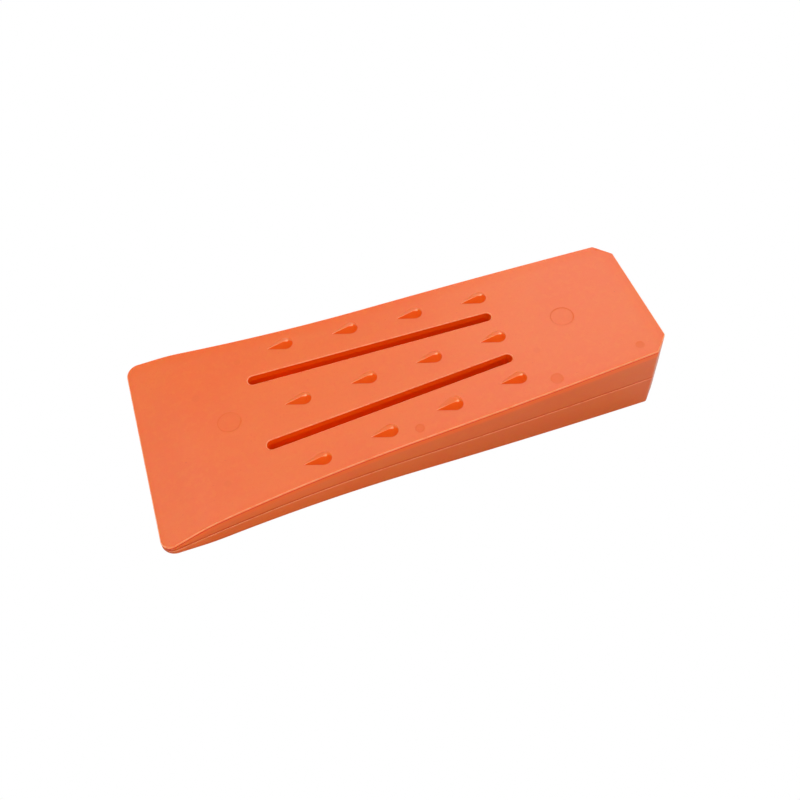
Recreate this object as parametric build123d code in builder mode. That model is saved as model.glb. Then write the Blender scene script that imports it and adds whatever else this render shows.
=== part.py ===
from build123d import *
from math import cos, radians, sin, sqrt, tan
import os

# A felling wedge: one solid plastic moulding, driven into a saw cut by blows on its head.
# It is drawn about its mid-plane, where the two halves of its mould meet. On that plane local X runs from the
# thin tip to the striking head, local Y runs across, and local Z leaves the plane. The plane is tipped by the
# taper angle, so that the underside is level. The floor is Z = 0, and the wedge stands on its lower spikes.

# Driving dimensions, in millimetres and degrees

# Body. Widths are on the mid-plane, and each angle is for one side.
wedge_length = 203.0
head_width = 59.7
tip_width = 89.0
side_angle = 2.68
side_radius = 3370.0  # the sides bow out by a third of a millimetre between the flare and the head
flare_length = 100.0  # from the tip to where the sides stop flaring out
head_thickness = 32.8
taper_angle = 3.3  # between a broad face and the mid-plane
tip_thickness = 3.4
bevel_length = 18.0  # of the steeper face behind the tip
bevel_blend = 60.0  # radius between that face and the broad face
draft_angle = 0.3  # lean of the side walls, so that the mould lets go
tip_corner_radius = 4.5
head_chamfer_length = 5.9
head_chamfer_width = 6.4
head_corner_radius = 1.5
rim_radius = 0.6

# Parting line: a fine groove round all the walls
parting_width = 0.3
parting_depth = 0.2

# Slots: two blind pockets in each broad face, with a web between the upper and the lower one
slot_width = 4.3
slot_length = 99.5  # overall, with its round ends
slot_start = 45.5  # from the tip to the slots' near ends
slot_inset = 21.0  # from the sides' straight lines to the centre lines, at those ends
slot_splay = 2.9  # each slot leans in towards the head
slot_web = 3.0
slot_mouth_radius = 0.4

# Spikes: teardrops that point at the tip and rise to an apex near their round end
spike_length = 10.9
spike_width = 5.8
spike_height = 1.6
spike_apex = 9.1  # from the sharp point to the apex
apex_share = 0.08  # size of the blunt apex against the outline
spikes_per_row = 4
spike_pitch = 26.5
spike_start = 56.1  # from the tip to the first sharp point
row_inset = 7.6  # from the sides' straight lines to the outer rows, at that point
row_splay = 5.3  # each outer row leans in towards the head

# Ejector pin marks. The end marks lie on the centre line, the side marks along one side.
pin_mark_depth = 0.15
tip_mark_place = 34.5  # from the tip
tip_mark_radius = 4.5
head_mark_place = 32.6  # from the head
head_mark_radius = 4.5
side_marks = [  # from the head, in from the side, radius
    (102.0, 5.0, 1.7),
    (46.5, 4.6, 2.3),
    (11.0, 5.9, 1.6),
]


def half_thickness(x):
    """Height of the broad face over the mid-plane, at a distance from the tip."""
    return head_thickness / 2 - (wedge_length - x) * tan(radians(taper_angle))


def half_width(x):
    """Half of the width on the mid-plane, on the straight lines under the sides' bow."""
    return head_width / 2 + (wedge_length - x) * tan(radians(side_angle))


# The tipped mid-plane. The origin of the part is on the floor, below the middle of the footprint.

rise = sin(radians(taper_angle))
run = cos(radians(taper_angle))
footprint = wedge_length * run + head_thickness / 2 * rise
tip_height = spike_height + head_thickness / 2 * run - wedge_length * rise
mid_plane = Plane(origin=(-footprint / 2, 0, tip_height), x_dir=(run, 0, rise), z_dir=(-rise, 0, run))
side_plane = Plane(origin=mid_plane.origin, x_dir=mid_plane.x_dir, z_dir=(0, -1, 0))


def face_plane(x, y, lift=0.0):
    """Plane on the upper broad face, at a place from the tip and across, raised off the face by lift."""
    place = mid_plane.from_local_coords(Vector(x, y, half_thickness(x)))
    level = Plane(origin=place, x_dir=mid_plane.x_dir, z_dir=mid_plane.z_dir)
    return level.rotated((0, -taper_angle, 0)).offset(lift)


def teardrop(plane, share=1.0):
    """A spike's outline, at a share of its full size, on a plane with its origin at the sharp point."""
    back_radius = share * spike_width / 2
    back_centre = share * spike_length - back_radius
    touch_x = back_centre - back_radius**2 / back_centre
    touch_y = sqrt(back_radius**2 - (back_centre - touch_x) ** 2)
    with BuildSketch(plane) as outline:
        with BuildLine():
            flank = Line((0, 0), (touch_x, touch_y))
            back = ThreePointArc(flank @ 1, (share * spike_length, 0), (touch_x, -touch_y))
            Line(back @ 1, (0, 0))
        make_face()
    return outline.sketch.face()


# Outline on the mid-plane, where the wedge is widest

with BuildSketch(mid_plane) as plan:
    with BuildLine():
        chamfer_start = wedge_length - head_chamfer_length
        head_edge = Line((wedge_length, 0), (wedge_length, head_width / 2 - head_chamfer_width))
        chamfer = Line(head_edge @ 1, (chamfer_start, half_width(chamfer_start)))
        side = RadiusArc(chamfer @ 1, (flare_length, half_width(flare_length)), -side_radius)
        flare = TangentArc(side @ 1, (0, tip_width / 2), tangent=side % 1)
        Line(flare @ 1, (0, 0))
        mirror(about=Plane.XZ)
    make_face()
    fillet(plan.vertices().group_by(Axis.X)[0], radius=tip_corner_radius)

# Side view of the upper half

with BuildSketch(side_plane) as profile:
    with BuildLine():
        bevel_end = (bevel_length, half_thickness(bevel_length))
        Polyline(
            (0, 0),
            (0, tip_thickness / 2),
            bevel_end,
            (wedge_length, head_thickness / 2),
            (wedge_length, 0),
            close=True,
        )
    make_face()
    fillet(profile.vertices().sort_by_distance(bevel_end)[0], radius=bevel_blend)

# Groove of the parting line, seen along the mould's opening

with BuildSketch(mid_plane) as parting_ring:
    offset(plan.sketch_local, amount=parting_width)
    offset(plan.sketch_local, amount=-parting_depth, mode=Mode.SUBTRACT)

# The upper slots' floors, on top of the web

with BuildSketch(mid_plane.offset(slot_web / 2)) as slot_floors:
    for hand in (-1, 1):
        with Locations((slot_start, hand * (half_width(slot_start) - slot_inset))):
            SlotOverall(slot_length, slot_width, rotation=-hand * slot_splay, align=(Align.MIN, Align.CENTER))

with BuildPart() as wedge_body:
    # Upper half: every wall but the striking face leans in, and the side view cuts the faces
    extrude(plan.sketch, amount=head_thickness)
    walls = wedge_body.faces().filter_by(lambda face: abs(face.normal_at().dot(mid_plane.z_dir)) < 0.1)
    draft(walls.sort_by(Axis.X)[:-1], neutral_plane=mid_plane, angle=draft_angle)
    extrude(profile.sketch, amount=tip_width, both=True, mode=Mode.INTERSECT)

    # Rounded corners at the head, then the rim all round the upper faces
    uprights = wedge_body.edges().filter_by(lambda edge: abs(edge.tangent_at(0.5).dot(mid_plane.z_dir)) > 0.9)
    fillet(uprights.sort_by(Axis.X)[-4:], radius=head_corner_radius)
    crown = wedge_body.faces().filter_by(lambda face: face.normal_at().dot(mid_plane.z_dir) > 0.9).edges()
    fillet(crown.filter_by(lambda edge: crown.count(edge) == 1), radius=rim_radius)

    # Slots, with their mouths rounded
    extrude(slot_floors.sketch, amount=head_thickness, mode=Mode.SUBTRACT)
    broad_face = wedge_body.faces().filter_by(face_plane(0, 0)).sort_by(SortBy.AREA)[-1]
    fillet(broad_face.inner_wires().edges(), radius=slot_mouth_radius)

    # Spikes: each outline narrows in straight lines to the apex
    for row in (-1, 0, 1):
        for step in range(spikes_per_row):
            x = spike_start + step * spike_pitch
            y = row * (half_width(spike_start) - row_inset - step * spike_pitch * tan(radians(row_splay)))
            foot = teardrop(face_plane(x, y))
            apex = teardrop(face_plane(x + (1 - apex_share) * spike_apex, y, spike_height), apex_share)
            loft([foot, apex], ruled=True)

    # Lower half, and the parting line between the two
    mirror(about=mid_plane)
    extrude(parting_ring.sketch, amount=parting_width / 2, both=True, mode=Mode.SUBTRACT)

    # Ejector pin marks, which only the upper face has
    pin_marks = [(tip_mark_place, 0, tip_mark_radius), (wedge_length - head_mark_place, 0, head_mark_radius)]
    for from_head, inset, radius in side_marks:
        x = wedge_length - from_head
        pin_marks.append((x, inset - half_width(x), radius))
    for x, y, radius in pin_marks:
        with BuildSketch(face_plane(x, y)):
            Circle(radius)
        extrude(amount=-pin_mark_depth, mode=Mode.SUBTRACT)

wedge_body.part.label = "wedge_body"

os.makedirs("parts", exist_ok=True)
export_step(wedge_body.part, "parts/wedge_body.step")
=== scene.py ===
from math import asin, atan2, cos, pi, radians, sin, sqrt, tan

import bpy
import numpy as np
from mathutils import Matrix, Vector
from mathutils.geometry import delaunay_2d_cdt


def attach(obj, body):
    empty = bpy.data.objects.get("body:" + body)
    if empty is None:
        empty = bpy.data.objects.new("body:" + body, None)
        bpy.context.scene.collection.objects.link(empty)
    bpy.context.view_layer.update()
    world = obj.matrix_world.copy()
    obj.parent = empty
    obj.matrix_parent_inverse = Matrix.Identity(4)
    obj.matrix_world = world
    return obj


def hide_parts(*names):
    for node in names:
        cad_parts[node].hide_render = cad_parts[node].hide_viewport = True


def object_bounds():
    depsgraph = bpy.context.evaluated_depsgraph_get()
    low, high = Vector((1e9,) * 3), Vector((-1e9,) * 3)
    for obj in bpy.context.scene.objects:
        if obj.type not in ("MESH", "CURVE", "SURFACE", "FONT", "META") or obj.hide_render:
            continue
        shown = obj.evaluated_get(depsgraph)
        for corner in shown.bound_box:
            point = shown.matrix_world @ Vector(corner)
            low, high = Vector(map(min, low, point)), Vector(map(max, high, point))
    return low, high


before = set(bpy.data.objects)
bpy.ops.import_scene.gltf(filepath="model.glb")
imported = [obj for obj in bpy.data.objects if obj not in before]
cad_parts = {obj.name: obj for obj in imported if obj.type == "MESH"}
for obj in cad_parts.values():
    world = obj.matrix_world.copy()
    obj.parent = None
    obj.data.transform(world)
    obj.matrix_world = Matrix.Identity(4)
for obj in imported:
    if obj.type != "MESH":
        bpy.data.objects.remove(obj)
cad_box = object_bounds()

# A felling wedge: one satin orange moulding. The CAD node gives its place and size, and this script makes
# the same shape again as one fine mesh with rounded edges, moulded spikes, pin marks and a parting line.
#
# The wedge is measured in millimetres in its own frame, about the plane where the halves of its mould meet:
# x runs from the thin tip to the striking head, y across, and z off that plane.

MM = 0.001

# Body
wedge_length = 203.0
head_width = 59.7
tip_width = 89.0
side_lean = radians(2.68)
side_radius = 3370.0  # of the slight bow in the sides
flare_length = 100.0
head_thickness = 32.8
taper = radians(3.3)
tip_thickness = 3.4
bevel_length = 18.0
bevel_blend = 60.0
draft = radians(0.3)
tip_corner_radius = 4.5
head_chamfer_length = 5.9
head_chamfer_width = 6.4
head_corner_radius = 1.5
rim_radius = 0.6

# Parting line round the walls
parting_width = 0.3
parting_depth = 0.2

# Slots
slot_width = 4.3
slot_length = 99.5
slot_start = 45.5
slot_inset = 21.0
slot_splay = radians(2.9)
slot_web = 3.0
slot_mouth_radius = 0.4
slot_floor_radius = 0.6

# Spikes
spike_length = 10.9
spike_width = 5.8
spike_height = 1.6
spike_apex = 9.1
spike_nose_radius = 0.2
apex_share = 0.08
spikes_per_row = 4
spike_pitch = 26.5
spike_start = 56.1
row_inset = 7.6
row_splay = radians(5.3)
spike_foot_blend = 0.05
spike_fullness = 0.85  # under 1, the flanks swell a little between foot and apex
spike_crown_blend = 0.10
full_spike = (-1, 2)  # the row and the step of the one spike that came out fuller on its far side
full_spike_swell = 1.32

# Ejector pin marks on the upper face. The end marks lie on the centre line, the side marks along one side.
tip_mark_place = 34.5
head_mark_place = 32.6
end_mark_radius = 4.5
tip_mark_depth = 0.091
head_mark_depth = 0.13
side_marks = ((102.0, 5.0, 1.7), (46.5, 4.6, 2.3), (11.0, 5.9, 1.6))  # from the head, inset, radius
side_mark_depth = 0.07

# The broad faces sink a little as the plastic cools, away from their far and head edges
sink_depth = 0.05
sink_border = 3.6
sink_slope_width = 5.5
border_fade = 2.5  # how far the border's painted shade runs on into the sunk face

# Painted glow: the walls are painted lighter and given a faint emission this far below the rim, standing in
# for light that enters the broad face and glows out of them. The thin end gets more of it, fading out along
# the length.
glow_reach = 3.6
thin_end_glow = 0.25
thin_end_fade = (40.0, 150.0)

# Fineness of the mesh. The even points inside a broad face keep clear of its rim and its features.
face_spacing = 1.6
rim_clearance = 0.6 * face_spacing
feature_clearance = 0.45 * face_spacing
support = 0.12  # a loop this near each rounded edge keeps the flat faces flat


def half_thickness(x):
    """Height of the broad face's plane over the mid-plane."""
    return head_thickness / 2 - (wedge_length - x) * tan(taper)


def half_width(x):
    """Half of the width on the mid-plane, on the straight lines under the sides' bow."""
    return head_width / 2 + (wedge_length - x) * tan(side_lean)


# The row's frame: the floor is z = 0, and the wedge stands level on its lower spikes.

rise = sin(taper)
run = cos(taper)
footprint = wedge_length * run + head_thickness / 2 * rise
tip_height = spike_height + head_thickness / 2 * run - wedge_length * rise


def to_row(points):
    """Points of the wedge's own frame, in metres in the row's frame."""
    x, y, z = np.asarray(points, float).T
    placed = (x * run - z * rise - footprint / 2, y, x * rise + z * run + tip_height)
    return np.stack(placed, axis=1) * MM


# ---------------------------------------------------------------- outline and faces

def chamfer_foot():
    """Where the head's chamfer meets the side, on the mid-plane."""
    x = wedge_length - head_chamfer_length
    return Vector((x, half_width(x)))


def bow_circle():
    """Centre and radius of the arc in which a side swells between the flare and the head."""
    start = Vector((flare_length, half_width(flare_length)))
    chord = chamfer_foot() - start
    outward = Vector((-chord.y, chord.x)).normalized()
    reach = sqrt(side_radius**2 - chord.length_squared / 4)
    return start + chord / 2 - reach * outward, side_radius


def flare_circle():
    """Centre and radius of the arc in which a side flares out to the tip."""
    start = Vector((flare_length, half_width(flare_length)))
    outward = (start - bow_circle()[0]).normalized()
    chord = Vector((0.0, tip_width / 2)) - start
    radius = chord.length_squared / (2 * chord.dot(outward))
    return start + radius * outward, radius


def meet(normal_a, reach_a, normal_b, reach_b):
    """The point where two lines meet, each given by its outward normal and its distance from the origin."""
    across = normal_a.x * normal_b.y - normal_a.y * normal_b.x
    x = (reach_a * normal_b.y - reach_b * normal_a.y) / across
    y = (normal_a.x * reach_b - normal_b.x * reach_a) / across
    return Vector((x, y))


def spread(start, end, steps):
    """Points from start up to, but not at, end."""
    return [start.lerp(end, step / steps) for step in range(steps)]


def sweep(centre, radius, first, last, steps):
    """Points round an arc between two directions, both ends included, with the direction of each."""
    turns = [first + (last - first) * step / steps for step in range(steps + 1)]
    return [(centre + radius * Vector((cos(turn), sin(turn))), turn) for turn in turns]


def half_outline(inset):
    """The outline for y >= 0, from the middle of the head to the middle of the tip, with the draught walls
    moved in by inset. Each point comes with the direction that its wall faces."""
    chamfer_top = Vector((wedge_length, head_width / 2 - head_chamfer_width))
    along = chamfer_foot() - chamfer_top
    head_facing = Vector((1.0, 0.0))
    chamfer_facing = Vector((along.y, -along.x)).normalized()
    bow_centre, bow_radius = bow_circle()
    side_facing = (chamfer_foot() - bow_centre).normalized()
    head_reach = wedge_length
    chamfer_reach = chamfer_top.dot(chamfer_facing) - inset
    side_reach = chamfer_foot().dot(side_facing) - inset

    round_off = head_corner_radius
    head_turn = 0.0
    chamfer_turn = atan2(chamfer_facing.y, chamfer_facing.x)
    side_turn = atan2(side_facing.y, side_facing.x)
    first_centre = meet(head_facing, head_reach - round_off, chamfer_facing, chamfer_reach - round_off)
    second_centre = meet(chamfer_facing, chamfer_reach - round_off, side_facing, side_reach - round_off)

    centre, radius = flare_circle()
    corner_x = tip_corner_radius
    corner_reach = radius + tip_corner_radius
    corner_y = centre.y - sqrt(corner_reach**2 - (corner_x - centre.x) ** 2)
    corner_centre = Vector((corner_x, corner_y))
    corner_turn = atan2(centre.y - corner_y, centre.x - corner_x)

    points = []
    head_end = first_centre + round_off * head_facing
    points += [(point, head_turn) for point in spread(Vector((wedge_length, 0.0)), head_end, 12)]
    points += sweep(first_centre, round_off, head_turn, chamfer_turn, 5)
    chamfer_start = first_centre + round_off * chamfer_facing
    chamfer_end = second_centre + round_off * chamfer_facing
    points += [(point, chamfer_turn) for point in spread(chamfer_start, chamfer_end, 5)][1:]
    points += sweep(second_centre, round_off, chamfer_turn, side_turn, 5)
    flare_start = Vector((flare_length, half_width(flare_length))) - bow_centre
    flare_turn = atan2(flare_start.y, flare_start.x)
    points += sweep(bow_centre, bow_radius - inset, side_turn, flare_turn, 54)[1:-1]
    flare = sweep(centre, radius + inset, flare_turn - pi, corner_turn - pi, 48)
    points += [(point, turn + pi) for point, turn in flare]
    points += sweep(corner_centre, tip_corner_radius - inset, corner_turn, pi, 12)[1:]
    tip_start = Vector((inset, corner_y))
    points += [(point, pi) for point in spread(tip_start, Vector((inset, 0.0)), 24)][1:]
    points.append((Vector((inset, 0.0)), pi))
    return points


def full_outline(inset):
    """Both halves as arrays: places, and the unit vectors that the walls face."""
    half = half_outline(inset)
    places = [(point.x, point.y) for point, turn in half]
    places += [(x, -y) for x, y in places[-2:0:-1]]
    facings = [(cos(turn), sin(turn)) for point, turn in half]
    facings += [(x, -y) for x, y in facings[-2:0:-1]]
    return np.array(places), np.array(facings)


def flared_half_width(x):
    """Half of the width on the mid-plane, with the flare."""
    centre, radius = flare_circle()
    flared = centre.y - np.sqrt(radius**2 - (np.minimum(x, flare_length) - centre.x) ** 2)
    bow_centre, bow_radius = bow_circle()
    bowed = bow_centre.y + np.sqrt(bow_radius**2 - (x - bow_centre.x) ** 2)
    return np.where(x < flare_length, flared, bowed)


def smooth_step(value, low, high):
    """0 below low, 1 above high, and a smooth rise between them."""
    share = np.clip((value - low) / (high - low), 0.0, 1.0)
    return share * share * (3 - 2 * share)


def reach_inside(x, y):
    """How far a place is from the head's edge or the far side's edge of the broad face."""
    return np.minimum(wedge_length - x, flared_half_width(x) - y)


def border_shade(x, y):
    """Painted shade: 1 on the level border at the far and head edges, fading to 0 where the face has sunk."""
    return 1 - smooth_step(reach_inside(x, y), sink_border, sink_border + border_fade)


def face_height(x, y):
    """Height of the broad face over the mid-plane: taper, bevel behind the tip, and the sink."""
    x = np.asarray(x, float)
    y = np.asarray(y, float)
    bevel_slope = (half_thickness(bevel_length) - tip_thickness / 2) / bevel_length
    bevel = tip_thickness / 2 + bevel_slope * x
    tapered = half_thickness(x)
    bend = (atan2(bevel_slope, 1) - taper) / 2
    blend = bevel_blend * tan(bend)
    # The blend is a parabola that meets both faces along their slopes.
    gap = x - bevel_length
    inside = np.abs(gap) < blend
    eased = bevel - (bevel_slope - tan(taper)) * (gap + blend) ** 2 / (4 * blend)
    height = np.where(inside, eased, np.minimum(bevel, tapered))
    return height - sink_depth * smooth_step(reach_inside(x, y), sink_border, sink_border + sink_slope_width)


# ---------------------------------------------------------------- the skin

class Skin:
    """The wedge's surface while it is made. Each point has its place and its paint masks."""

    # Masks for painted light: spike (painted shade on near flanks), crease (painted shade), pocket (painted
    # shade and glow in the slots), glow (painted glow), edge (wear and a painted highlight), seam (painted
    # shade at the parting line), border (painted shade). mark is the pin marks' own tone.
    masks = ("edge", "pocket", "mark", "spike", "seam", "glow", "crease", "border")

    def __init__(self):
        self.places = []
        self.paint = []
        self.faces = []

    def add(self, places, **paint):
        """New points, and their numbers. Each mask is one value or a value for each point."""
        first = len(self.places)
        self.places += [tuple(place) for place in places]
        columns = [np.broadcast_to(paint.get(mask, 0.0), len(places)) for mask in self.masks]
        self.paint += np.stack(columns, axis=1).tolist()
        return list(range(first, len(self.places)))

    def band(self, outer, inner, side):
        """Quads between two loops of the same count."""
        count = len(outer)
        for here in range(count):
            after = (here + 1) % count
            quad = (outer[here], outer[after], inner[after], inner[here])
            self.faces.append(quad if side > 0 else quad[::-1])

    def fan(self, loop, middle, side):
        """Triangles from a loop to one point."""
        count = len(loop)
        for here in range(count):
            corner = (loop[here], loop[(here + 1) % count], middle)
            self.faces.append(corner if side > 0 else corner[::-1])

    def floor(self, loop, side):
        """Quads across a loop whose two halves mirror each other, from its first point on."""
        count = len(loop)
        half = count // 2
        self.faces.append((loop[0], loop[1], loop[-1])[::side])
        for here in range(1, half - 1):
            quad = (loop[here], loop[here + 1], loop[count - here - 1], loop[count - here])
            self.faces.append(quad[::side])
        self.faces.append((loop[half - 1], loop[half], loop[half + 1])[::side])


def on_side(x, y, z, side):
    """Places from three arrays, on the upper side or mirrored below the mid-plane."""
    return np.stack([x, y, side * np.asarray(z)], axis=1)


# Each feature adds a loop that lies in the broad face and the rings inside it, and returns that loop.

def teardrop_outline():
    """A spike's outline about the foot of its apex, from its rounded nose round its far side."""
    back_radius = spike_width / 2
    back_centre = spike_length - back_radius
    flank_turn = pi / 2 + asin(back_radius / back_centre)
    nose_centre = spike_nose_radius / (back_radius / back_centre)
    nose = [pi + (flank_turn - pi) * step / 4 for step in range(5)]
    back = [flank_turn * (1 - step / 14) for step in range(15)]
    half = [(nose_centre + spike_nose_radius * cos(turn), spike_nose_radius * sin(turn)) for turn in nose]
    back_points = [(back_centre + back_radius * cos(turn), back_radius * sin(turn)) for turn in back]
    start = Vector(half[-1])
    half += [tuple(point) for point in spread(start, Vector(back_points[0]), 14)][1:]
    half += back_points
    half[-1] = (half[-1][0], 0.0)
    half[0] = (half[0][0], 0.0)
    loop = half + [(x, -y) for x, y in half[-2:0:-1]]
    return np.array(loop) - (spike_apex, 0.0)


def smooth_max(a, b, ease):
    """The larger of two numbers, with the step between them eased."""
    return (a + b + np.sqrt((a - b) ** 2 + ease**2)) / 2


def spike_rise(share):
    """Height of a spike where its outline has shrunk to a share of its full size."""
    flank = spike_height / (1 - apex_share) * max(0.0, 1 - share) ** spike_fullness
    footed = smooth_max(flank, 0.0, spike_foot_blend)
    crowned = -smooth_max(-footed, -spike_height, spike_crown_blend)
    return crowned


# Shares of a spike's outline, from the broad face round its foot up to its apex
spike_rings = (1.26, 1.17, 1.1, 1.06, 1.03, 1.01, 0.99, 0.97, 0.94, 0.89, 0.82, 0.73, 0.63, 0.52, 0.41,
               0.31, 0.23, 0.17, 0.125, 0.09, 0.06, 0.03)


def add_spike(skin, x, y, side, swell=1.0):
    """One spike with its sharp end at x, y. swell widens its far side. The flank towards the near side is
    painted deeper as painted shade, with a line of painted shade along its foot."""
    outline = teardrop_outline()
    outline[:, 1] = np.where(outline[:, 1] > 0, outline[:, 1] * swell, outline[:, 1])
    outline = outline[::-1]
    foot = spike_rise(spike_rings[0])
    full_height = spike_height / (spike_rise(0.0) - foot)
    loops = []
    for share in spike_rings + (0.0,):
        along = spike_apex + outline[:, 0] * share
        lift = (spike_rise(share) - foot) * full_height
        ring_x = x + along * run - lift * rise
        ring_y = y + outline[:, 1] * share
        base_x = x + along * run
        ring_z = face_height(base_x, ring_y) + lift * run
        # Painted shade: the near flank is painted a deeper orange, for the shade it gets facing away from the
        # lamps.
        near_flank = smooth_step(-outline[:, 1] * share, -0.25, 0.25)
        on_flank = near_flank * float(np.clip((1.02 - share) * 12, 0, 1))
        # The ridge gets wear and a painted highlight.
        ridge = float(np.clip((0.2 - share) * 8, 0, 1))
        places = on_side(ring_x, ring_y, ring_z, side)
        if share == 0.0:
            middle = skin.add(places[:1], edge=1.0, spike=1.0)[0]
            skin.fan(loops[-1], middle, side)
            break
        # A line of painted shade along the near flank's foot.
        foot_shade = 0.8 * near_flank * float(np.clip(1 - abs(share - 1.0) * 22, 0, 1))
        loops.append(skin.add(places, spike=on_flank, edge=ridge, crease=foot_shade))
        if len(loops) > 1:
            skin.band(loops[-2], loops[-1], side)
    wear_and_highlight_ridge(skin, loops)
    return loops[0]


def wear_and_highlight_ridge(skin, loops):
    """Marks the ridge that runs from the sharp end to the apex as an edge, painted with wear and a painted
    highlight.
    """
    edge = skin.masks.index("edge")
    for share, loop in zip(spike_rings, loops):
        if share < 1.0:
            for number in (loop[0], loop[-1], loop[-2]):
                skin.paint[number][edge] = 1.0


def stadium_outline(reach):
    """A slot's outline grown by reach, about the centre of its round end at the tip. It starts beside that
    end's outermost point."""
    radius = slot_width / 2 + reach
    straight = slot_length - slot_width
    half = []
    for step in range(13):
        turn = pi - pi / 2 * step / 12
        half.append((radius * cos(turn), radius * sin(turn)))
    half += [(straight * step / 64, radius) for step in range(1, 64)]
    for step in range(13):
        turn = pi / 2 - pi / 2 * step / 12
        half.append((straight + radius * cos(turn), radius * sin(turn)))
    half[0] = (half[0][0], 0.0)
    half[-1] = (half[-1][0], 0.0)
    return np.array(half + [(x, -y) for x, y in half[-2:0:-1]])[::-1]


def add_slot(skin, hand, side):
    """One blind slot, from its rounded mouth down to its floor on the web."""
    middle_x = slot_start + slot_width / 2 * cos(slot_splay)
    start_y = half_width(slot_start) - slot_inset
    middle_y = hand * (start_y - slot_width / 2 * sin(slot_splay))
    lean = -hand * slot_splay

    def ring(reach):
        outline = np.roll(stadium_outline(reach), 1, axis=0)
        x = middle_x + outline[:, 0] * cos(lean) - outline[:, 1] * sin(lean)
        y = middle_y + outline[:, 0] * sin(lean) + outline[:, 1] * cos(lean)
        return x, y

    loops = []

    def lay(reach, z_of, **paint):
        x, y = ring(reach)
        top = face_height(x, y)
        loops.append(skin.add(on_side(x, y, z_of(top), side), **paint))
        if len(loops) > 1:
            skin.band(loops[-2], loops[-1], side)

    lay(slot_mouth_radius + support, lambda top: top)
    # The mouth's rounding gets wear and a painted highlight.
    for step in range(6):
        turn = pi / 2 * step / 5
        reach = slot_mouth_radius * (1 - sin(turn))
        drop = slot_mouth_radius * (1 - cos(turn))
        lay(reach, lambda top, drop=drop: top - drop, edge=sin(2 * turn) ** 2)
    floor = slot_web / 2
    mouth = slot_mouth_radius + support
    wall_foot = floor + slot_floor_radius
    # Painted shade and glow: the slot's walls and floor are painted a deep red, with a faint painted glow.
    for share in (0.0, 0.12, 0.3, 0.55, 0.8, 1.0):
        def level(top, share=share):
            return (top - mouth) * (1 - share) + wall_foot * share
        # Painted shade just under the slot's mouth, fading with depth.
        lay(0.0, level, pocket=1.0, crease=0.7 * (1 - share) ** 3)
    for step in range(1, 4):
        turn = pi / 2 * step / 3
        reach = -slot_floor_radius * (1 - cos(turn))
        height = wall_foot - slot_floor_radius * sin(turn)
        lay(reach, lambda top, height=height: top * 0 + height, pocket=1.0)
    skin.floor(loops[-1], side)
    return loops[0]


def add_pin_mark(skin, x, y, radius, depth, side):
    """A shallow round print that an ejector pin left. The tone of a large one is mostly in its edge."""
    is_large = radius > 3
    count = 56 if is_large else 32
    middle_tone = 0.25 if is_large else 1.0
    turns = np.arange(count) * 2 * pi / count
    loops = []
    # Reach past the print's edge, share of the depth, and tone
    rings = ((0.35, 0.0, 0.0), (0.14, 0.04, 0.3), (0.04, 0.4, 1.0), (-0.06, 0.8, 1.0), (-0.16, 0.98, 0.9),
             (-0.35, 1.0, middle_tone), (-0.5 * radius, 0.92, middle_tone))
    for reach, share, tone in rings:
        ring_x = x + (radius + reach) * np.cos(turns)
        ring_y = y + (radius + reach) * np.sin(turns)
        height = face_height(ring_x, ring_y) - depth * share
        loops.append(skin.add(on_side(ring_x, ring_y, height, side), mark=tone))
        if len(loops) > 1:
            skin.band(loops[-2], loops[-1], side)
    top = face_height([x], [y])[0] - depth * 0.9
    middle = skin.add([(x, y, side * top)], mark=middle_tone)[0]
    skin.fan(loops[-1], middle, side)
    return loops[0]


# ---------------------------------------------------------------- walls and broad faces

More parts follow.
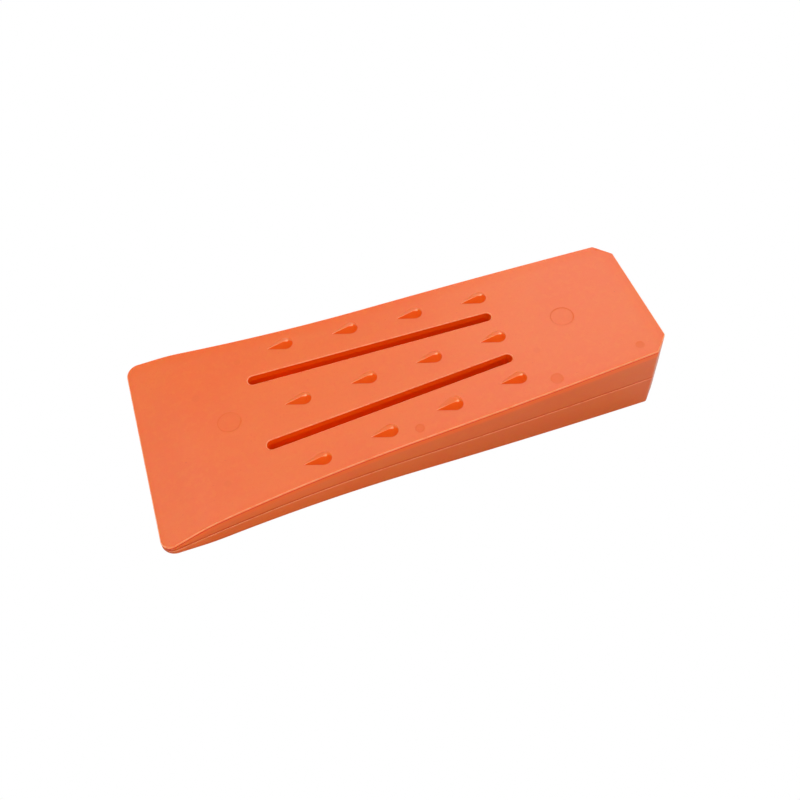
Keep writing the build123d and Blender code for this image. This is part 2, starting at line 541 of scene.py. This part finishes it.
def add_walls(skin, seam, side):
    """The wall from the parting line out to the rim, and the rim's rounding. Returns the last loop, which
    lies in the broad face. The thin end gets a painted glow on both sides. Only the upper side's walls get a
    painted glow towards the rim and painted shade just under it."""
    upright, facing = full_outline(0.0)
    lean = full_outline(1.0)[0] - upright
    loops = [seam]

    def lay(level, roll, drop, **paint):
        # The walls lean in with height, and the rim rolls in on top of that.
        height = level[:, None]
        places = upright + lean * tan(draft) * height - facing * roll
        if drop is not None:
            level = face_height(places[:, 0], places[:, 1]) - drop
        loops.append(skin.add(on_side(places[:, 0], places[:, 1], level, side), **paint))
        skin.band(loops[-2], loops[-1], side)

    # The upper half is painted darker just over the parting line as painted shade, and the lower half's lip
    # is painted with wear and a painted highlight.
    flat = np.zeros(len(upright))
    above = 1.0 if side > 0 else 0.0
    lip = 1.0 - above
    # Painted glow at the thin end, fading along the length.
    thin = thin_end_glow * (1 - smooth_step(upright[:, 0], *thin_end_fade))
    lay(flat + parting_width * 0.28, parting_depth * 0.96, None, seam=1.0)
    lay(flat + parting_width * 0.42, parting_depth * 0.6, None, seam=1.0)
    lay(flat + parting_width * 0.54, parting_depth * 0.16, None, seam=0.3 + 0.7 * above, edge=0.5 * lip)
    lay(flat + parting_width * 0.72, 0.0, None, seam=0.8 * above, edge=0.5 * lip)
    lay(flat + parting_width * 1.8, 0.0, None, seam=0.5 * above, edge=0.35 * lip, glow=thin)
    lay(flat + parting_width * 3.2, 0.0, None, glow=thin)
    wall_foot = parting_width * 3.2
    wall_top = face_height(upright[:, 0], upright[:, 1]) - rim_radius
    # Painted glow rising towards the rim, on the upper side.
    for share in (0.2, 0.4, 0.58, 0.72, 0.84, 0.94):
        level = wall_foot + (wall_top - 1.1 - wall_foot) * share
        rim_glow = above * (1 - smooth_step(wall_top - level, 0.2, glow_reach))
        lay(level, 0.0, None, glow=np.maximum(thin, rim_glow))
    lay(wall_top - 0.9, 0.0, None, glow=np.maximum(thin, above))
    # Painted shade just under the rim, on the upper side only.
    lay(wall_top - 0.5, 0.0, None, glow=above, crease=above)
    lay(wall_top - support / 2, 0.0, None, glow=above, crease=above)
    # The rim's rounding gets wear and a painted highlight, and painted glow on the upper side.
    for step in range(9):
        turn = pi / 2 * step / 8
        roll = rim_radius * (1 - cos(turn))
        drop = rim_radius * (1 - sin(turn))
        lay(wall_top, roll, drop, edge=sin(2 * turn) ** 3, glow=above * cos(turn) ** 2)
    lay(wall_top, rim_radius + support, 0.0, border=1.0)
    return loops[-1]


def inside_loop(points, loop):
    """Which points lie inside a closed loop."""
    x = points[:, 0][:, None]
    y = points[:, 1][:, None]
    ends = np.roll(loop, -1, axis=0)
    crosses = (loop[:, 1] > y) != (ends[:, 1] > y)
    height = ends[:, 1] - loop[:, 1]
    height = np.where(height == 0, 1e-12, height)
    cut = loop[:, 0] + (y - loop[:, 1]) / height * (ends[:, 0] - loop[:, 0])
    return (crosses & (x < cut)).sum(axis=1) % 2 == 1


def distance_to_loop(points, loop):
    """Distance of each point from the nearest side of a closed loop."""
    best = np.full(len(points), np.inf)
    for start, end in zip(loop, np.roll(loop, -1, axis=0)):
        along = end - start
        share = np.clip(((points - start) @ along) / (along @ along), 0, 1)
        gap = points - start - share[:, None] * along
        best = np.minimum(best, np.hypot(gap[:, 0], gap[:, 1]))
    return best


def add_broad_face(skin, rim, features, side):
    """Fills the face between the rim and the features with even triangles."""
    loops = [rim] + features
    flat_loops = [np.array([skin.places[number][:2] for number in loop]) for loop in loops]
    step_y = face_spacing * sqrt(3) / 2
    rows = int(tip_width / 2 / step_y)
    lattice = []
    for row in range(-rows, rows + 1):
        shift = face_spacing / 2 if row % 2 else 0.0
        for column in range(int(wedge_length / face_spacing) + 1):
            lattice.append((column * face_spacing + shift, row * step_y))
    lattice = np.array(lattice)
    keep = inside_loop(lattice, flat_loops[0])
    keep &= distance_to_loop(lattice, flat_loops[0]) > rim_clearance
    for loop in flat_loops[1:]:
        keep &= ~inside_loop(lattice, loop) & (distance_to_loop(lattice, loop) > feature_clearance)
    lattice = lattice[keep]
    heights = face_height(lattice[:, 0], lattice[:, 1])
    numbers = [number for loop in loops for number in loop]
    # Painted shade on the border of the broad face
    border = border_shade(lattice[:, 0], lattice[:, 1])
    numbers += skin.add(on_side(lattice[:, 0], lattice[:, 1], heights, side), border=border)

    edges = []
    first = 0
    for loop in loops:
        count = len(loop)
        edges += [(first + here, first + (here + 1) % count) for here in range(count)]
        first += count
    flat = [Vector(skin.places[number][:2]) for number in numbers]
    _, _, triangles, origins, _, _ = delaunay_2d_cdt(flat, edges, [], 0, 1e-7)
    corners = [[numbers[origins[corner][0]] for corner in triangle] for triangle in triangles]
    middles = np.array([
        [sum(skin.places[corner][axis] for corner in triangle) / 3 for axis in (0, 1)]
        for triangle in corners])
    wanted = inside_loop(middles, flat_loops[0])
    for loop in flat_loops[1:]:
        wanted &= ~inside_loop(middles, loop)
    for triangle, is_wanted in zip(corners, wanted):
        if is_wanted:
            skin.faces.append(tuple(triangle)[::side])


def spike_places():
    """Row, step and sharp end of every spike."""
    for row in (-1, 0, 1):
        for step in range(spikes_per_row):
            x = spike_start + step * spike_pitch
            y = row * (half_width(spike_start) - row_inset - step * spike_pitch * tan(row_splay))
            yield row, step, x, y


def pin_mark_places():
    """Place, radius and depth of the marks: two on the centre line and three along the near side."""
    yield tip_mark_place, 0.0, end_mark_radius, tip_mark_depth
    yield wedge_length - head_mark_place, 0.0, end_mark_radius, head_mark_depth
    for from_head, inset, radius in side_marks:
        x = wedge_length - from_head
        yield x, inset - half_width(x), radius, side_mark_depth


def build_wedge():
    """The whole moulding as one mesh object. It is closed but for a hairline slit at a corner of each broad
    face, where three points of the rim lie almost in line."""
    skin = Skin()
    upright, facing = full_outline(0.0)
    seam_places = upright - facing * parting_depth
    # The parting line's groove is painted darker as painted shade.
    seam = skin.add(on_side(seam_places[:, 0], seam_places[:, 1], np.zeros(len(upright)), 1), seam=1.0)
    for side in (1, -1):
        rim = add_walls(skin, seam, side)
        features = [add_slot(skin, hand, side) for hand in (-1, 1)]
        for row, step, x, y in spike_places():
            swell = full_spike_swell if (row, step) == full_spike and side == 1 else 1.0
            features.append(add_spike(skin, x, y, side, swell))
        if side == 1:
            for x, y, radius, depth in pin_mark_places():
                features.append(add_pin_mark(skin, x, y, radius, depth, side))
        add_broad_face(skin, rim, features, side)

    mesh = bpy.data.meshes.new("wedge")
    mesh.from_pydata(to_row(skin.places).tolist(), [], skin.faces)
    mesh.validate()
    paint = np.array(skin.paint, np.float32)
    for column, mask in enumerate(skin.masks):
        layer = mesh.attributes.new(mask, "FLOAT", "POINT")
        layer.data.foreach_set("value", np.ascontiguousarray(paint[:, column]))
    mesh.polygons.foreach_set("use_smooth", [True] * len(mesh.polygons))
    mesh.update()
    wedge = bpy.data.objects.new("wedge", mesh)
    bpy.context.scene.collection.objects.link(wedge)
    return wedge


# ---------------------------------------------------------------- shader maths

class Value:
    """A number that changes over a surface: one output socket, with Python's operators."""

    def __init__(self, finish, socket):
        self.finish = finish
        self.socket = socket

    def math(self, operation, *others):
        sockets = dict(enumerate((self,) + others))
        node = self.finish.node("ShaderNodeMath", {"operation": operation}, sockets)
        return Value(self.finish, node.outputs[0])

    def __add__(self, other):
        return self.math("ADD", other)

    def __sub__(self, other):
        return self.math("SUBTRACT", other)

    def __rsub__(self, other):
        node = self.finish.node("ShaderNodeMath", {"operation": "SUBTRACT"}, {0: other, 1: self})
        return Value(self.finish, node.outputs[0])

    def __mul__(self, other):
        return self.math("MULTIPLY", other)

    __radd__ = __add__
    __rmul__ = __mul__


class Finish:
    """The nodes of one finish: a material's, or the room's."""

    def __init__(self, owner):
        owner.use_nodes = True
        self.tree = owner.node_tree
        self.tree.nodes.clear()
        self.places = self.node("ShaderNodeTexCoord").outputs["Object"]

    def node(self, kind, settings=None, sockets=None):
        """A node of any kind: its settings are set first, then its sockets get values or links."""
        made = self.tree.nodes.new(kind)
        for name, setting in (settings or {}).items():
            setattr(made, name, setting)
        for key, given in (sockets or {}).items():
            self.feed(made.inputs[key], given)
        return made

    def feed(self, socket, given):
        if isinstance(given, Value):
            given = given.socket
        if isinstance(given, bpy.types.NodeSocket):
            self.tree.links.new(given, socket)
        else:
            socket.default_value = given

    def value(self, kind, output, settings=None, sockets=None):
        return Value(self, self.node(kind, settings, sockets).outputs[output])

    def mask(self, name):
        """A mask painted on the mesh."""
        return self.value("ShaderNodeAttribute", "Fac", {"attribute_name": name})

    def stretched(self, across):
        """The surface's place, with each axis scaled."""
        scaled = self.node("ShaderNodeVectorMath", {"operation": "MULTIPLY"}, {0: self.places, 1: across})
        return scaled.outputs[0]

    def noise(self, size, detail=2.0, roughness=0.5, places=None):
        """Soft noise whose lumps measure about size, in millimetres."""
        sockets = {"Vector": places or self.places, "Scale": 1 / (size * MM), "Detail": detail,
                   "Roughness": roughness}
        return self.value("ShaderNodeTexNoise", "Fac", None, sockets)

    def between(self, value, low, high):
        """0 below low, 1 above high, and a smooth rise between them."""
        sockets = {"Value": value, "From Min": low, "From Max": high, "To Min": 0.0, "To Max": 1.0}
        settings = {"interpolation_type": "SMOOTHSTEP"}
        return self.value("ShaderNodeMapRange", "Result", settings, sockets)

    def mix(self, share, first, second):
        """A colour between two colours."""
        sockets = {0: share, 6: first, 7: second}
        return self.node("ShaderNodeMix", {"data_type": "RGBA"}, sockets).outputs[2]

    def spot(self, x, y, radius):
        """1 at a place of the upper face, fading to 0 at the radius, in millimetres."""
        centre = to_row([(x, y, float(face_height(x, y)))])[0]
        gap = self.value("ShaderNodeVectorMath", "Value", {"operation": "DISTANCE"},
                         {0: self.places, 1: tuple(centre)})
        return 1 - self.between(gap, radius * 0.55 * MM, radius * MM)

    def seen_apart(self, lit, seen):
        """One shader for what the camera sees straight on, and another for the light that it gives."""
        seen_straight = self.node("ShaderNodeLightPath").outputs["Is Camera Ray"]
        return self.node("ShaderNodeMixShader", None, {0: seen_straight, 1: lit, 2: seen}).outputs[0]


# ---------------------------------------------------------------- finishes

plastic_orange = (0.90, 0.150, 0.006, 1)
plastic_deep = (0.89, 0.120, 0.004, 1)
plastic_pale = (0.91, 0.175, 0.012, 1)
# painted shading of the spikes' near flanks
flank_shading_orange = (1.0, 0.105, 0.004, 1)
# painted shade in creases: spike feet, slot mouths and under the rim
crease_shade_orange = (0.80, 0.060, 0.002, 1)
# painted shade inside the slots
pocket_shade_red = (0.97, 0.150, 0.001, 1)
# painted glow inside the slots
pocket_light = (0.012, 0.004, 0.0, 1)
# painted glow on the walls under the rim and at the thin end
glow_orange = (1.0, 0.170, 0.004, 1)
print_orange = (0.86, 0.128, 0.004, 1)
# lighter edges: wear and a painted highlight
worn_highlight_edge = (1.0, 0.42, 0.22, 1)
speck_dark = (0.66, 0.070, 0.004, 1)
# painted shade in the parting line's groove and just above it
seam_shade = (0.72, 0.060, 0.002, 1)
no_light = (0.0, 0.0, 0.0, 1)
# painted glow, as emission, on the walls under the rim
rim_light = (0.21, 0.008, 0.0, 1)
# painted highlight on the edges, as emission
edge_light = (0.32, 0.12, 0.06, 1)

# Faint blots on the upper face: from the tip, across, radius
faint_blots = ((24.5, 15.9, 2.0), (28.2, -26.7, 1.8), (43.6, 27.3, 1.8), (154.8, -12.0, 1.8))


def moulded_orange():
    """Satin orange plastic with a fine moulded grain and soft mottling. Edges are painted lighter with wear
    and a painted highlight; creases, slots, the spikes' near flanks, the parting line and the faces' border
    carry painted shade, and the walls and slots a painted glow.
    """
    material = bpy.data.materials.new("moulded_orange")
    finish = Finish(material)
    edge = finish.mask("edge")
    pocket = finish.mask("pocket")
    mark = finish.mask("mark")
    spike = finish.mask("spike")
    seam = finish.mask("seam")
    glow = finish.mask("glow")
    crease = finish.mask("crease")
    border = finish.mask("border")

    cloud = finish.noise(38.0, 2.0, 0.45)
    mottle = finish.noise(2.6, 3.0, 0.6)
    fleck = finish.noise(0.9, 2.0, 0.55)
    grain = finish.noise(0.42, 3.0, 0.65)
    ripple = finish.noise(9.0, 2.0, 0.4)
    drag = finish.noise(3.2, 4.0, 0.65, finish.stretched((0.12, 1.0, 1.0)))

    colour = finish.mix(finish.between(cloud, 0.38, 0.66) * 0.5, plastic_orange, plastic_deep)
    colour = finish.mix(finish.between(mottle, 0.42, 0.72) * 0.5, colour, plastic_pale)
    colour = finish.mix(finish.between(fleck, 0.48, 0.72) * 0.4, colour, plastic_deep)
    specks = finish.between(finish.noise(0.7, 1.0, 0.4), 0.74, 0.80)
    colour = finish.mix(specks * 0.4, colour, speck_dark)
    blots = finish.spot(*faint_blots[0])
    for blot in faint_blots[1:]:
        blots = blots + finish.spot(*blot)
    colour = finish.mix(blots * 0.6, colour, print_orange)
    # Painted shade on the level border of the broad faces
    colour = finish.mix(border * 0.15, colour, plastic_deep)
    colour = finish.mix(mark * 0.8, colour, print_orange)
    # Painted shade on the spikes' near flanks
    colour = finish.mix(spike * 0.9, colour, flank_shading_orange)
    # Painted shade inside the slots
    colour = finish.mix(pocket * 0.9, colour, pocket_shade_red)
    # Painted glow on the walls under the rim and at the thin end
    colour = finish.mix(glow * 0.75, colour, glow_orange)
    # Painted shade in creases
    colour = finish.mix(crease * 0.85, colour, crease_shade_orange)
    # Edges painted lighter: wear and a painted highlight
    wear_and_highlight = edge * finish.between(finish.noise(2.4, 3.0, 0.6), 0.1, 0.6)
    colour = finish.mix(wear_and_highlight * 0.85, colour, worn_highlight_edge)
    # Painted shade at the parting line
    colour = finish.mix(seam * 0.8, colour, seam_shade)

    # Emission for the painted glow under the rim
    light = finish.mix(glow * (1 - crease), no_light, rim_light)
    # Painted glow inside the slots, less under the mouth
    light = finish.mix(pocket * (1 - crease), light, pocket_light)
    # Emission for the painted highlight on the edges
    light = finish.mix(wear_and_highlight, light, edge_light)

    roughness = 0.36 + 0.08 * mottle + 0.06 * drag + 0.15 * pocket - 0.10 * edge
    gloss = 0.96 - 0.22 * mottle - 0.14 * drag - 0.08 * border - 0.22 * mark - 0.25 * glow
    gloss = gloss - 0.85 * spike - 0.85 * pocket - 0.85 * seam
    height = grain * 0.5 + fleck * 0.5 + ripple * 1.1 + drag * 0.10 - specks * 0.25
    bump = finish.node("ShaderNodeBump", None, {"Strength": 0.5, "Distance": 0.045 * MM, "Height": height})
    shader = finish.node("ShaderNodeBsdfPrincipled", None, {
        "Base Color": colour,
        "Roughness": roughness,
        "Normal": bump.outputs[0],
        "Coat Weight": gloss,
        "Coat Roughness": 0.33,
        "Emission Color": light,
        "Emission Strength": 1.0,
        "IOR": 1.5,
        "Specular IOR Level": 0.1,
        "Subsurface Weight": 0.6,
        "Subsurface Radius": (1.0, 0.16, 0.05),
        "Subsurface Scale": 3.0 * MM,
    })
    finish.node("ShaderNodeOutputMaterial", None, {"Surface": shader.outputs[0]})
    return material


def pale_floor():
    """A plain table that looks white, and gives back a little less light than it shows."""
    material = bpy.data.materials.new("pale_floor")
    finish = Finish(material)
    tone = finish.mix(finish.noise(60.0, 2.0), (0.68, 0.68, 0.68, 1), (0.70, 0.70, 0.70, 1))
    table = finish.node("ShaderNodeBsdfPrincipled", None, {
        "Base Color": tone,
        "Roughness": 0.9,
        "Specular IOR Level": 0.0,
        "Emission Color": (1.0, 1.0, 1.0, 1),
        "Emission Strength": 0.06,
    })
    white = finish.node("ShaderNodeEmission", None, {"Color": (1.0, 1.0, 1.0, 1), "Strength": 1.0})
    lit = finish.seen_apart(table.outputs[0], white.outputs[0])
    finish.node("ShaderNodeOutputMaterial", None, {"Surface": lit})
    return material


# ---------------------------------------------------------------- studio

def add_floor():
    half_side = 3.0
    corners = [(-half_side, -half_side, 0), (half_side, -half_side, 0), (half_side, half_side, 0),
               (-half_side, half_side, 0)]
    mesh = bpy.data.meshes.new("floor")
    mesh.from_pydata(corners, [], [(0, 1, 2, 3)])
    mesh.materials.append(pale_floor())
    floor = bpy.data.objects.new("floor", mesh)
    floor.location.z = cad_box[0][2]
    bpy.context.scene.collection.objects.link(floor)


def add_softbox(name, azimuth, elevation, distance, width, height, power):
    """A rectangular light that faces the wedge. Azimuth is from +Y towards +X, in degrees."""
    light = bpy.data.lights.new(name, "AREA")
    light.shape = "RECTANGLE"
    light.size = width
    light.size_y = height
    light.energy = power
    turn = radians(azimuth)
    lift = radians(elevation)
    place = Vector((sin(turn) * cos(lift), cos(turn) * cos(lift), sin(lift))) * distance
    softbox = bpy.data.objects.new(name, light)
    softbox.location = place
    softbox.rotation_euler = place.to_track_quat("Z", "Y").to_euler()
    bpy.context.scene.collection.objects.link(softbox)


def add_room(brightness):
    """An even pale room all round."""
    world = bpy.data.worlds.new("room")
    finish = Finish(world)
    walls = finish.node("ShaderNodeBackground", None, {"Color": (1.0, 1.0, 1.0, 1), "Strength": brightness})
    white = finish.node("ShaderNodeBackground", None, {"Color": (1.0, 1.0, 1.0, 1), "Strength": 1.0})
    lit = finish.seen_apart(walls.outputs[0], white.outputs[0])
    finish.node("ShaderNodeOutputWorld", None, {"Surface": lit})
    bpy.context.scene.world = world


def add_camera():
    """Looks down on the upper face from beyond the tip, on the near side. Azimuth is from +Y towards +X."""
    aim = Vector((-3.31, -11.46, 17.9)) * MM
    distance = 378.49 * MM
    azimuth = radians(19.244)
    elevation = radians(52.126)
    roll = radians(1.511)
    forward = Vector((sin(azimuth) * cos(elevation), cos(azimuth) * cos(elevation), -sin(elevation)))
    level_right = Vector((cos(azimuth), -sin(azimuth), 0.0))
    level_up = level_right.cross(forward)
    right = level_right * cos(roll) + level_up * sin(roll)
    up = right.cross(forward)
    data = bpy.data.cameras.new("camera")
    data.sensor_width = 36.0
    data.lens = 44.38
    data.clip_start = 0.01
    camera = bpy.data.objects.new("camera", data)
    turn = Matrix((right, up, -forward)).transposed().to_4x4()
    camera.matrix_world = Matrix.Translation(aim - forward * distance) @ turn
    bpy.context.scene.collection.objects.link(camera)
    bpy.context.scene.camera = camera


# ---------------------------------------------------------------- assembly

wedge = build_wedge()
wedge.data.materials.append(moulded_orange())
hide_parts("wedge_body")
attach(wedge, "root")

add_floor()
add_room(0.25)
add_softbox("overhead_box", azimuth=-5, elevation=66, distance=1.4, width=1.2, height=0.9, power=6.4)
add_softbox("left_box", azimuth=-66, elevation=44, distance=1.3, width=1.1, height=0.7, power=4.4)
add_softbox("back_box", azimuth=42, elevation=46, distance=1.3, width=0.9, height=0.7, power=3.6)
add_softbox("horizon_box", azimuth=12, elevation=10, distance=1.3, width=1.3, height=0.4, power=2.0)
add_softbox("front_strip", azimuth=166, elevation=33, distance=1.1, width=1.1, height=0.06, power=3.4)
add_camera()
bpy.context.scene.view_settings.view_transform = "Standard"
